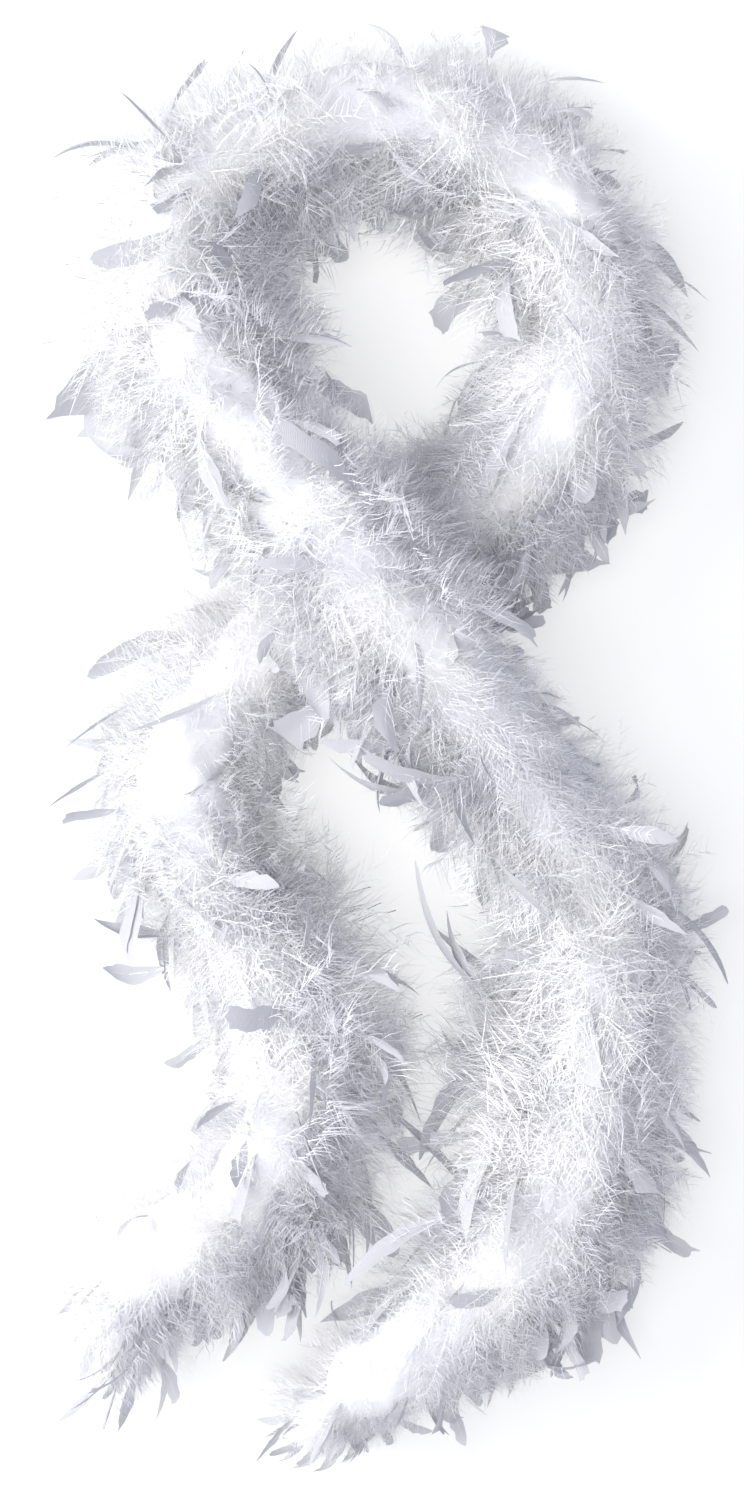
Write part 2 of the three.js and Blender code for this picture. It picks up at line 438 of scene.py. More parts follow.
@dataclass(frozen=True)
class VaneFinish(Finish):
    """A feather's flat blade: close barbs that run slanting from the quill, with painted shade in the grooves
    between them and a soft satin gleam.
    """

    # painted shade: the darker colour laid in the grooves between the barbs
    painted_groove_shade: tuple[float, float, float] = (0.53, 0.535, 0.57)
    barbs: float = 60.0
    slant: float = 9.0
    see_through: float = 0.16

    def make(self) -> bpy.types.Material:
        """Makes the finish. The blade's own map runs across it in U and from root to tip in V.

        Returns:
            The material.
        """
        material, tree, principled, output = self.start()
        link = tree.links.new
        own_map = tree.nodes.new("ShaderNodeUVMap")
        own_map.uv_map = "Feather"
        parts = tree.nodes.new("ShaderNodeSeparateXYZ")
        off_quill = self.add(tree, "ShaderNodeMath", operation="SUBTRACT")
        off_quill.inputs[1].default_value = 0.5
        outward = self.add(tree, "ShaderNodeMath", operation="ABSOLUTE")
        slanted = self.add(tree, "ShaderNodeMath", operation="MULTIPLY_ADD")
        slanted.inputs[1].default_value = -self.slant / self.barbs
        rows = self.add(tree, "ShaderNodeMath", operation="MULTIPLY")
        rows.inputs[1].default_value = self.barbs * math.tau
        ridge = self.add(tree, "ShaderNodeMath", operation="SINE")
        shade = self.add(tree, "ShaderNodeMapRange", From_Min=-1.0, From_Max=1.0)
        # painted shade: the colour darkens where the barbs' ridge falls into a groove, as the bump does
        colour = self.add(tree, "ShaderNodeMix", data_type="RGBA")
        colour.inputs["A"].default_value = (*self.painted_groove_shade, 1)
        colour.inputs["B"].default_value = (*self.colour, 1)
        bump = self.add(tree, "ShaderNodeBump", Strength=0.35, Distance=0.0003)
        principled.inputs["Specular IOR Level"].default_value = 0.35
        principled.inputs["Sheen Weight"].default_value = 0.15
        link(own_map.outputs["UV"], parts.inputs["Vector"])
        link(parts.outputs["X"], off_quill.inputs[0])
        link(off_quill.outputs["Value"], outward.inputs[0])
        link(outward.outputs["Value"], slanted.inputs[0])
        link(parts.outputs["Y"], slanted.inputs[2])
        link(slanted.outputs["Value"], rows.inputs[0])
        link(rows.outputs["Value"], ridge.inputs[0])
        link(ridge.outputs["Value"], shade.inputs["Value"])
        link(shade.outputs["Result"], colour.inputs["Factor"])
        link(ridge.outputs["Value"], bump.inputs["Height"])
        link(bump.outputs["Normal"], principled.inputs["Normal"])
        self.let_through(tree, principled, output, colour.outputs["Result"], self.see_through)
        return material


@dataclass(frozen=True)
class SpunFinish(Finish):
    """Spun cotton or thread: fine fibres and slubs, seen close up."""

    dark: tuple[float, float, float] = (0.74, 0.72, 0.68)
    fibre_scale: float = 2600.0

    def make(self) -> bpy.types.Material:
        """Makes the finish.

        Returns:
            The material.
        """
        material, tree, principled, _ = self.start()
        place = tree.nodes.new("ShaderNodeTexCoord")
        fibres = self.add(tree, "ShaderNodeTexNoise", Scale=self.fibre_scale, Detail=4.0)
        slubs = self.add(tree, "ShaderNodeTexNoise", Scale=180.0, Detail=2.0)
        grime = self.add(tree, "ShaderNodeMix", data_type="RGBA")
        grime.inputs["A"].default_value = (*self.dark, 1)
        grime.inputs["B"].default_value = (*self.colour, 1)
        bump = self.add(tree, "ShaderNodeBump", Strength=0.5, Distance=0.0002)
        principled.inputs["Sheen Weight"].default_value = 0.2
        link = tree.links.new
        link(place.outputs["Object"], fibres.inputs["Vector"])
        link(place.outputs["Object"], slubs.inputs["Vector"])
        link(slubs.outputs["Fac"], grime.inputs["Factor"])
        link(grime.outputs["Result"], principled.inputs["Base Color"])
        link(fibres.outputs["Fac"], bump.inputs["Height"])
        link(bump.outputs["Normal"], principled.inputs["Normal"])
        return material


@dataclass(frozen=True)
class QuillFinish(Finish):
    """A feather's quill: smooth, pale horn with a soft shine that varies a little from place to place."""

    def make(self) -> bpy.types.Material:
        """Makes the finish.

        Returns:
            The material.
        """
        material, tree, principled, _ = self.start()
        place = tree.nodes.new("ShaderNodeTexCoord")
        horn = self.add(tree, "ShaderNodeTexNoise", Scale=90.0, Detail=2.0)
        shine = self.add(tree, "ShaderNodeMapRange", To_Min=0.3, To_Max=0.55)
        link = tree.links.new
        link(place.outputs["Object"], horn.inputs["Vector"])
        link(horn.outputs["Fac"], shine.inputs["Value"])
        link(shine.outputs["Result"], principled.inputs["Roughness"])
        return material


@dataclass(frozen=True)
class FloorFinish(Finish):
    """A plain pale floor, lit a little from below as a light table is, so that its shadows stay soft."""

    glow: float = 0.62

    def make(self) -> bpy.types.Material:
        """Makes the finish.

        Returns:
            The material.
        """
        material, _, principled, _ = self.start()
        principled.inputs["Emission Color"].default_value = (1, 1, 1, 1)
        principled.inputs["Emission Strength"].default_value = self.glow
        return material


class Finishes:
    """Every finish of the boa and the studio, made once."""

    def __init__(self) -> None:
        """Makes the materials."""
        self.down = DownFinish("white_down", (0.97, 0.965, 0.975)).make()
        self.vane = VaneFinish("white_vane", (0.60, 0.60, 0.63), 0.6).make()
        self.quill = QuillFinish("pale_quill", (0.88, 0.87, 0.85), 0.4).make()
        self.cotton = SpunFinish("spun_cotton", (0.93, 0.92, 0.89)).make()
        self.thread = SpunFinish("binding_thread", (0.95, 0.945, 0.93), 0.6).make()
        self.floor = FloorFinish("pale_floor", (0.32, 0.32, 0.32), 0.95).make()


# ---------------------------------------------------------------------------------------- feathers


class TipCut(Enum):
    """How a feather's blade ends."""

    POINTED = "pointed"
    ROUNDED = "rounded"
    SQUARE = "square"
    SLANTED = "slanted"


class Slot(Enum):
    """Material slots of a plumage piece."""

    DOWN = 0
    VANE = 1
    QUILL = 2


@dataclass(frozen=True)
class FeatherShape:
    """One kind of feather, drawn from its root at the origin along +Y, with its outer face up.

    A feather of pure down has a vane width of 0.
    """

    seed: int
    length: float = 0.056
    curl: float = 0.7
    sway: float = 0.10
    barbs: int = 14
    barb_length: float = 0.022
    barb_width: float = 0.00024
    down_from: float = 0.14
    down_to: float = 0.98
    vane_width: float = 0.0
    vane_from: float = 0.46
    cup: float = 0.12
    tip: TipCut = TipCut.POINTED
    quill_width: float = 0.00045

    def spine(self, t: float) -> Vector:
        """The quill's line.

        Args:
            t: The share of its length.

        Returns:
            The point there.
        """
        bend = self.curl if abs(self.curl) > 1e-3 else 1e-3
        along = self.length * math.sin(bend * t) / bend
        fall = -self.length * (1 - math.cos(bend * t)) / bend
        return Vector((self.sway * self.length * t * t, along, fall))

    def width(self, t: float) -> float:
        """The blade's half width.

        Args:
            t: The share of the blade's length, from its base.

        Returns:
            The half width in metres.
        """
        swell = min(1.0, 0.15 + 1.7 * t) * self.vane_width / 2
        if self.tip is TipCut.POINTED:
            return swell * max(0.02, 1 - max(0.0, (t - 0.4) / 0.6) ** 1.6)
        if self.tip is TipCut.ROUNDED:
            return swell * math.sqrt(max(0.03, 1 - max(0.0, (t - 0.68) / 0.32) ** 2))
        return swell * (0.92 if self.tip is TipCut.SQUARE else 1.0)

    def build(self) -> bpy.types.Mesh:
        """Makes the feather's mesh.

        Returns:
            The mesh, with material slots as in Slot and a map named Feather.
        """
        dice = np.random.default_rng(self.seed)
        bm = bmesh.new()
        bm.loops.layers.uv.new("Feather")
        self._add_quill(bm)
        if self.vane_width > 0:
            self._add_vane(bm, dice)
        for i in range(self.barbs):
            t = self.down_from + (self.down_to - self.down_from) * (i + dice.uniform(0.1, 0.9)) / self.barbs
            for side in (-1.0, 1.0):
                self._add_barb(bm, t, side, dice)
        mesh = bpy.data.meshes.new(f"feather_{self.seed}")
        bm.to_mesh(mesh)
        bm.free()
        return mesh

    def _ribbon(
        self,
        bm: bmesh.types.BMesh,
        across: int,
        along: int,
        slot: Slot,
        shape: Callable[[float, float], Vector],
    ) -> None:
        """Adds a flat strip and moves its points into shape.

        Args:
            bm: The feather so far.
            across: Faces across the strip.
            along: Faces along the strip.
            slot: The strip's material slot.
            shape: Gives a point's place from its side, -1 to 1, and its share of the length.
        """
        first = len(bm.faces)
        made = bmesh.ops.create_grid(bm, x_segments=across, y_segments=along, size=1.0, calc_uvs=True)
        for vert in made["verts"]:
            vert.co = shape(vert.co.x, (vert.co.y + 1) / 2)
        bm.faces.ensure_lookup_table()
        for face in bm.faces[first:]:
            face.material_index = slot.value
            face.smooth = True

    def _add_quill(self, bm: bmesh.types.BMesh) -> None:
        """Adds the quill, thinner towards the tip and a hair above the blade.

        Args:
            bm: The feather so far.
        """
        lift = Vector((0, 0, 0.00018))
        end = 0.93

        def shape(side: float, t: float) -> Vector:
            """A point of the quill."""
            return self.spine(t * end) + lift + Vector((side * self.quill_width * (1.05 - t), 0, 0))

        self._ribbon(bm, 1, 5, Slot.QUILL, shape)

    def _add_vane(self, bm: bmesh.types.BMesh, dice: np.random.Generator) -> None:
        """Adds the blade, cupped along its quill and a little uneven at its edges.

        Args:
            bm: The feather so far.
            dice: Seeded chance.
        """
        ragged = dice.uniform(-0.26, 0.12, 64)

        def shape(side: float, t: float) -> Vector:
            """A point of the blade."""
            reach = t
            if self.tip is TipCut.SLANTED:
                reach = t * (1 - 0.16 * (side + 1) / 2)
            if self.tip is TipCut.SQUARE:
                reach = t * (1 - 0.05 * abs(math.sin(7 * side + self.seed)))
            wave = ragged[int(reach * 29 + 31 * (side > 0))] * abs(side) ** 3
            half = self.width(reach) * (1 + wave)
            place = self.spine(self.vane_from + (1 - self.vane_from) * reach)
            return place + Vector((side * half, 0, -self.cup * abs(side) * half + 0.3 * wave * half))

        self._ribbon(bm, 6, 9, Slot.VANE, shape)

    def _add_barb(self, bm: bmesh.types.BMesh, t: float, side: float, dice: np.random.Generator) -> None:
        """Adds one downy barb to the quill.

        Args:
            bm: The feather so far.
            t: Where the barb grows, as a share of the feather's length.
            side: -1 or 1.
            dice: Seeded chance.
        """
        root = self.spine(t)
        reach = self.barb_length * dice.uniform(0.6, 1.15) * (1.15 - 0.5 * t)
        forward = dice.uniform(0.9, 1.9)
        out = Vector((side, forward, dice.uniform(-0.65, 0.65))).normalized()
        aside = -0.25 * side + dice.uniform(-0.12, 0.12)
        hook = Vector((aside, dice.uniform(0.3, 0.8), dice.uniform(-0.5, 0.25)))
        flat = out.cross(Vector((0, 0, 1)) + 0.6 * hook).normalized()

        def shape(across: float, along: float) -> Vector:
            """A point of the barb."""
            line = root + out * (reach * along) + hook * (reach * 0.45 * along * along)
            return line + flat * (across * self.barb_width * (1 - along) ** 0.7)

        first = len(bm.verts)
        self._ribbon(bm, 1, 2, Slot.DOWN, shape)
        bm.verts.ensure_lookup_table()
        bmesh.ops.remove_doubles(bm, verts=bm.verts[first:], dist=1e-6)


class StrayForm(Enum):
    """The forms of single feathers that stand out of the plume."""

    STRAP = 0
    SABRE = 1
    BROAD = 2
    WISP = 3


@dataclass
class FeatherStock:
    """The few feather shapes that the whole boa is made of."""

    down_kinds: int = 7
    crown_kinds: int = 5
    blade_kinds: int = 10

    def __post_init__(self) -> None:
        """Builds the meshes."""
        self.down = [
            FeatherShape(
                seed=10 + i,
                length=0.052 + 0.004 * (i % 3),
                curl=(0.25 + 0.31 * i) % 1.1 + 0.1,
                sway=(-0.2, 0.18, 0.05, -0.1)[i % 4],
                barb_length=0.020 + 0.002 * (i % 4),
            ).build()
            for i in range(self.down_kinds)
        ]
        cuts = [TipCut.POINTED, TipCut.ROUNDED, TipCut.SLANTED, TipCut.POINTED, TipCut.SQUARE]
        self.crown = [
            FeatherShape(
                seed=25 + i,
                length=0.058 + 0.004 * (i % 3),
                curl=1.2 + 0.22 * i,
                sway=(0.12, -0.15)[i % 2],
                barb_length=0.022 + 0.002 * (i % 3),
            ).build()
            for i in range(self.crown_kinds)
        ]
        self.blades = [
            FeatherShape(
                seed=40 + i,
                length=0.072 + 0.005 * (i % 3),
                curl=(0.5, 1.15, 0.2, 0.85, 1.5)[i % 5],
                sway=(0.30, -0.26, -0.12, 0.34, 0.2, -0.32)[i % 6],
                barbs=12,
                barb_length=0.019,
                down_to=0.74,
                vane_width=(0.0125, 0.0098, 0.0155, 0.0082)[i % 4],
                vane_from=0.40 + 0.04 * (i % 3),
                cup=(0.35, -0.2, 0.15)[i % 3],
                tip=cuts[i % 5],
            ).build()
            for i in range(self.blade_kinds)
        ]
        common = {"barbs": 13, "barb_length": 0.019, "down_to": 0.66}
        self.strays = {
            StrayForm.STRAP: FeatherShape(
                70, 0.085, 0.35, 0.26, vane_width=0.0100, vane_from=0.42, tip=TipCut.SQUARE, **common
            ).build(),
            StrayForm.SABRE: FeatherShape(
                71, 0.085, 0.5, 0.34, vane_width=0.0120, vane_from=0.40, tip=TipCut.POINTED, **common
            ).build(),
            StrayForm.BROAD: FeatherShape(
                72, 0.080, 0.7, 0.22, vane_width=0.0175, vane_from=0.38, tip=TipCut.ROUNDED, cup=0.3, **common
            ).build(),
            StrayForm.WISP: FeatherShape(73, 0.075, 0.3, 0.18, barbs=22, barb_length=0.017).build(),
        }


@dataclass
class Growth:
    """Where and how a batch of feathers grows: a row in each table for each feather."""

    distance: np.ndarray
    along: np.ndarray
    outward: np.ndarray
    face: np.ndarray
    roll: np.ndarray
    scale: np.ndarray
    limit: np.ndarray

    def part(self, rows: slice | list[int]) -> "Growth":
        """Some of the feathers."""
        tables = (self.distance, self.along, self.outward, self.face, self.roll, self.scale, self.limit)
        return Growth(*(table[rows] for table in tables))


@dataclass(frozen=True)
class Habit:
    """How one sort of feather grows.

    Spread is how far the feathers lean along the cord, in radians either way, and scales are their least and
    most size. Limit is the reach that they stay inside, as a share of the plume's fullness. Droop is how far
    they fall towards the tails, and on_top is the share of them that may grow on top of the cord.
    """

    per_metre: float
    spread: float
    scales: tuple[float, float]
    limit: float
    droop: float
    on_top: float = 1.0


@dataclass
class Plumage:
    """All the feathers of one stretch.

    Proud is how far feathers may stand out of the CAD box, and edge_depth is the depth over which they are
    eased back into it. Surface_gap is the height at which feathers that would go under the surface turn along
    it. Softness is how far the down's shading follows the whole plume. Tuft_step and tufts_round divide the
    plume into small tufts, whose feathers lean and stand out alike.
    """

    strand: Strand
    stretch: Stretch
    stock: FeatherStock
    finishes: Finishes
    down: Habit = Habit(8200.0, 0.32, (0.66, 1.12), 1.07, 0.22)
    bladed: Habit = Habit(460.0, 0.55, (0.82, 1.2), 1.22, 0.90, 0.3)
    stray: Habit = Habit(36.0, 0.6, (0.72, 0.98), 1.5, 1.1, 0.15)
    crown_from: float = 0.3
    feather_reach: float = 0.056
    root_radius: float = 0.0045
    bare_end: float = 0.032
    fall: tuple[float, float, float] = (0.05, -1.0, -0.10)
    proud: float = 0.0095
    edge_depth: float = 0.012
    surface_gap: float = 0.004
    surface_ease: float = 0.006
    softness: float = 0.50
    tuft_step: float = 0.021
    tufts_round: int = 7
    dice: np.random.Generator = field(init=False)

    def __post_init__(self) -> None:
        """Seeds the stretch's own chance."""
        self.dice = np.random.default_rng(1000 + self.stretch.number)

    def build(self) -> Iterator[bpy.types.Object]:
        """Makes the stretch's down and its bladed feathers, and attaches them.

        Yields:
            Each piece.
        """
        down = self._grow_batch(self.down)
        on_top = down.outward[:, 2] > self.crown_from
        batches = []
        for kinds, chosen in ((self.stock.down, ~on_top), (self.stock.crown, on_top)):
            rows = np.flatnonzero(chosen)
            batches += [(kind, down.part(rows[k :: len(kinds)])) for k, kind in enumerate(kinds)]
        yield self._plant("down", batches, soft=True)
        blades = self._grow_batch(self.bladed)
        kinds = self.stock.blades
        batches = [(kind, blades.part(slice(k, None, len(kinds)))) for k, kind in enumerate(kinds)]
        strays = self._grow_batch(self.stray)
        kinds = list(self.stock.strays.values())
        batches += [(kind, strays.part(slice(k, None, len(kinds)))) for k, kind in enumerate(kinds)]
        yield self._plant("feathers", batches, soft=False)

    def _grow_batch(self, habit: Habit) -> Growth:
        """Throws the feathers of one sort round the cord.

        Args:
            habit: How they grow.

        Returns:
            The batch.
        """
        dice = self.dice
        count = round(habit.per_metre * (self.stretch.end - self.stretch.start))
        first = max(self.stretch.start, self.bare_end)
        last = min(self.stretch.end, self.strand.length - self.bare_end)
        distance = dice.uniform(first, last, count)
        angle = dice.uniform(0, math.tau, count)
        off_top = (0.18 + 0.64 * angle / math.tau) * math.tau
        angle = np.where(dice.uniform(0, 1, count) < habit.on_top, angle, off_top)
        row, column = distance / self.tuft_step, angle / math.tau * self.tufts_round
        tuft = row.astype(int) * self.tufts_round + column.astype(int)
        tuft_lean, tuft_turn, tuft_size = self._tuft_traits()
        at_end = np.exp(-(self.strand.length - distance) / 0.03) - np.exp(-distance / 0.03)
        lean = dice.normal(0, habit.spread * 0.45, count) + habit.spread * tuft_lean[tuft] + at_end
        lean = lean[:, None]
        angle = angle + 0.35 * tuft_turn[tuft]
        here = self.strand.at(distance)
        outward = here["sideways"] * np.sin(angle)[:, None] + here["up"] * np.cos(angle)[:, None]
        fallen = np.array(self.fall) * (habit.droop * dice.uniform(0.2, 1.6, count))[:, None]
        reach = self.strand.reach(distance, angle) * tuft_size[tuft]
        lay = (np.clip(np.cos(angle), 0, 1) ** 0.7)[:, None]
        heading = 0.95 * tuft_turn[tuft] + dice.normal(0, 0.35, count) - math.pi / 2
        bent = np.column_stack([np.cos(heading), np.sin(heading), np.zeros(count)])
        roll = dice.normal(0, 0.7, count) * (1 - 0.6 * lay[:, 0])
        size = dice.uniform(*habit.scales, count) * np.where(np.cos(angle) > 0.6, 0.9, 1.0)
        return Growth(
            distance=distance,
            along=unit(outward * np.cos(lean) + here["ahead"] * np.sin(lean) + fallen),
            outward=outward,
            face=outward * (1 - lay) - bent * lay,
            roll=roll,
            scale=reach / self.feather_reach * size,
            limit=reach * habit.limit * dice.uniform(0.84, 1.12, count),
        )

    def _tuft_traits(self) -> np.ndarray:
        """How each small tuft leans, turns and stands out: the same for both stretches that share it.

        Returns:
            Three rows with a value for each tuft: lean, turn and size.
        """
        count = int(self.strand.length / self.tuft_step + 2) * self.tufts_round
        traits = np.random.default_rng(77).normal(0, 1, (3, count))
        traits[2] = np.clip(1 + 0.10 * traits[2], 0.84, 1.14)
        return traits

    def _plant(
        self, name: str, batches: list[tuple[bpy.types.Mesh, Growth]], soft: bool
    ) -> bpy.types.Object:
        """Copies feathers into one mesh and attaches it.

        Args:
            name: The piece's name, without its number.
            batches: Feather meshes, each with where its copies grow.
            soft: Whether its shading follows the whole plume, as loose fluff does.

        Returns:
            The piece.
        """
        bm = bmesh.new()
        for kind, growth in batches:
            drawn = np.empty(len(kind.vertices) * 3, np.float32)
            kind.vertices.foreach_get("co", drawn)
            work = kind.copy()
            for laid in self._place(drawn.reshape(-1, 3), growth):
                work.vertices.foreach_set("co", laid.astype(np.float32).ravel())
                bm.from_mesh(work, face_normals=False, vertex_normals=False)
            bpy.data.meshes.remove(work)
        mesh = bpy.data.meshes.new(f"{name}_{self.stretch.label}")
        bm.to_mesh(mesh)
        if soft:
            self._soften(bm, mesh)
        bm.free()
        piece = link_piece(mesh, [self.finishes.down, self.finishes.vane, self.finishes.quill])
        self.stretch.attach(piece, self.strand)
        return piece

    def _soften(self, bm: bmesh.types.BMesh, mesh: bpy.types.Mesh) -> None:
        """Turns every face away from the cord, and makes the shading follow the plume as well as each barb.

        Args:
            bm: The feathers.
            mesh: Their mesh, which is written again.
        """
        away = self._outward(read(mesh.polygons, "center"))
        inward = np.sum(read(mesh.polygons, "normal") * away, axis=1) < 0
        bm.faces.ensure_lookup_table()
        bmesh.ops.reverse_faces(bm, faces=[bm.faces[i] for i in np.flatnonzero(inward)])
        bm.to_mesh(mesh)
        corners = np.empty(len(mesh.loops), np.int32)
        mesh.loops.foreach_get("vertex_index", corners)
        sides = np.empty(len(mesh.polygons), np.int32)
        mesh.polygons.foreach_get("loop_total", sides)
        own = np.repeat(read(mesh.polygons, "normal"), sides, axis=0)
        outward = self._outward(read(mesh.vertices, "co"))[corners]
        mesh.normals_split_custom_set(unit(own * (1 - self.softness) + outward * self.softness))

    def _outward(self, points: np.ndarray) -> np.ndarray:
        """The directions away from this stretch of the cord.

        Args:
            points: Some points, one row each.

        Returns:
            A direction for each.
        """
        along = np.linspace(self.stretch.start - 0.03, self.stretch.end + 0.03, 50)
        line = self.strand.at(np.clip(along, 0, self.strand.length))["place"]
        nearest = np.argmin(((points[:, None] - line) ** 2).sum(axis=2), axis=1)
        return unit(points - line[nearest])

    def _place(self, drawn: np.ndarray, growth: Growth) -> np.ndarray:
        """Turns, bends and presses copies of one feather into place.

        Args:
            drawn: The feather's points as drawn.
            growth: Where each feather grows.

        Returns:
            Points in the row frame: feathers by points by three.
        """
        here = self.strand.at(growth.distance)
        along, face = growth.along, growth.face
        into = along * np.sum(face * along, axis=1, keepdims=True) * 0.999
        outer = unit(face - into + here["ahead"] * 0.05)
        across = unit(np.cross(along, outer))
        cos, sin = np.cos(growth.roll)[:, None], np.sin(growth.roll)[:, None]
        across, outer = across * cos + outer * sin, outer * cos - across * sin
        shape = drawn[None, :, :, None] * np.stack([across, along, outer], axis=1)[:, None]
        offset = shape.sum(axis=2) * growth.scale[:, None, None]
        offset += (growth.outward * self.root_radius)[:, None]
        return self._press(here, offset, growth.limit[:, None])

    def _press(self, here: dict[str, np.ndarray], offset: np.ndarray, limit: np.ndarray) -> np.ndarray:
        """Keeps feathers in the plume, flattens them where the strand is pressed, and lays them on the floor.

        Args:
            here: The cord at each feather's root.
            offset: Points from the cord, feathers by points by three.
            limit: The plume's reach at each feather.

        Returns:
            Points in the row frame.
        """
        side = np.einsum("npk,nk->np", offset, here["sideways"])
        rise = np.einsum("npk,nk->np", offset, here["up"])
        reach = np.hypot(side, rise)
        keep = (1 + (reach / limit) ** 5) ** (-1 / 5)
        height = here["place"][:, 2:3]
        stand = np.where(rise > 0, self.strand.stand(height, True), self.strand.stand(height, False))
        side_change, rise_change = side * (keep - 1), rise * (keep * stand - 1)
        points = here["place"][:, None] + offset
        points += here["sideways"][:, None] * side_change[..., None]
        points += here["up"][:, None] * rise_change[..., None]
        under = np.maximum(0.0, self.surface_gap - points[..., 2])
        laid = self.surface_gap * (1 - 0.9 * np.tanh(under / self.surface_ease))
        points[..., 2] = np.where(under > 0, laid, points[..., 2])
        points += here["sideways"][:, None] * (np.sign(side) * under * 0.45)[..., None]
        for axis, (low, high) in enumerate(zip(*CAD_BOX)):
            middle, half = (low + high) / 2, (high - low) / 2 + self.proud
            from_middle = np.abs(points[..., axis] - middle)
            over = np.maximum(0.0, from_middle - half + self.edge_depth)
            pulled = from_middle - over + self.edge_depth * np.tanh(over / self.edge_depth)
            points[..., axis] = middle + np.sign(points[..., axis] - middle) * pulled
        return points


# ------------------------------------------------------------------------------ helpers and pieces


def read(items: bpy.types.bpy_prop_collection, name: str) -> np.ndarray:
    """Reads a three-part value of a mesh's points or faces into rows."""
    values = np.empty(len(items) * 3, np.float32)
    items.foreach_get(name, values)
    return values.reshape(-1, 3)


def unit(rows: np.ndarray) -> np.ndarray:
    """Rows scaled to length 1."""
    return rows / np.maximum(np.linalg.norm(rows, axis=1, keepdims=True), 1e-9)


def link_piece(mesh: bpy.types.Mesh, materials: list[bpy.types.Material]) -> bpy.types.Object:
    """Puts a finished mesh in the scene under its own name.

    Args:
        mesh: The mesh, in place.
        materials: Its materials, in slot order.

    Returns:
        The new object.
    """
    for material in materials:
        mesh.materials.append(material)
    piece = bpy.data.objects.new(mesh.name, mesh)
    bpy.context.scene.collection.objects.link(piece)
    return piece


def make_tubes(name: str, lines: list[np.ndarray], radius: float, sides: int) -> bpy.types.Mesh:
    """Round strands along several lines, as one mesh.

    Args:
        name: The mesh's name.
        lines: Points of each line.
        radius: The strands' radius.
        sides: Faces round each strand, a multiple of 4.

    Returns:
        The mesh.
    """
    curve = bpy.data.curves.new(name, "CURVE")
    curve.dimensions = "3D"
    curve.bevel_depth = radius
    curve.bevel_resolution = sides // 4
    curve.use_fill_caps = True
    for line in lines:
        spline = curve.splines.new("POLY")
        spline.points.add(len(line) - 1)
        spline.points.foreach_set("co", np.column_stack([line, np.ones(len(line))]).ravel())
    holder = bpy.data.objects.new(f"{name}_line", curve)
    mesh = bpy.data.meshes.new_from_object(holder)
    mesh.name = name
    for face in mesh.polygons:
        face.use_smooth = True
    bpy.data.objects.remove(holder)
    bpy.data.curves.remove(curve)
    return mesh


@dataclass
class UnderDown:
    """The close down next to the cord in one stretch: a soft uneven sleeve under the feathers."""

    strand: Strand
    stretch: Stretch
    radius: float = 0.025
    around: int = 40
    step: float = 0.0035
    bare_end: float = 0.034

    def build(self, finishes: Finishes) -> bpy.types.Object:
        """Makes and attaches the sleeve.

        Args:
            finishes: The boa's finishes.

        Returns:
            The piece.
        """
        start = max(self.stretch.start, self.bare_end)
        end = min(self.stretch.end, self.strand.length - self.bare_end)
        rings = round((end - start) / self.step)
        bm = bmesh.new()
        made = bmesh.ops.create_grid(bm, x_segments=self.around, y_segments=rings, size=1.0)
        for vert in made["verts"]:
            vert.co = self._point((vert.co.x + 1) * math.pi, start + (end - start) * (vert.co.y + 1) / 2)
        bmesh.ops.remove_doubles(bm, verts=bm.verts[:], dist=1e-6)
        bmesh.ops.recalc_face_normals(bm, faces=bm.faces[:])
        for face in bm.faces:
            face.smooth = True
        mesh = bpy.data.meshes.new(f"under_down_{self.stretch.label}")
        bm.to_mesh(mesh)
        bm.free()
        piece = link_piece(mesh, [finishes.down])
        self.stretch.attach(piece, self.strand)
        return piece

    def _point(self, angle: float, distance: float) -> Vector:
        """A point of the sleeve, lumpy in the same way wherever two stretches meet.

        Args:
            angle: Round the cord, from the top.
            distance: Along the cord.

        Returns:
            The point in the row frame.
        """
        lumps = math.sin(3 * angle + 95 * distance) * math.sin(61 * distance + 2 * angle)
        fine = math.sin(9 * angle - 260 * distance) * 0.35 + math.sin(13 * angle + 410 * distance) * 0.25
        reach = self.radius * (1 + 0.10 * lumps + 0.06 * fine)
        to_end = min(distance, self.strand.length - distance) - self.bare_end
        reach *= min(1.0, math.sqrt(max(0.0, to_end) / 0.035) + 0.12)
        place = self.strand.at(distance)["place"][0]
        rise = reach * math.cos(angle)
        rise *= float(self.strand.stand(np.array([place[2]]), rise > 0)[0])
        laid = self.strand.lay(np.array([[reach * math.sin(angle), distance, rise]]))[0]
        return Vector((laid[0], laid[1], max(laid[2], 0.0015)))


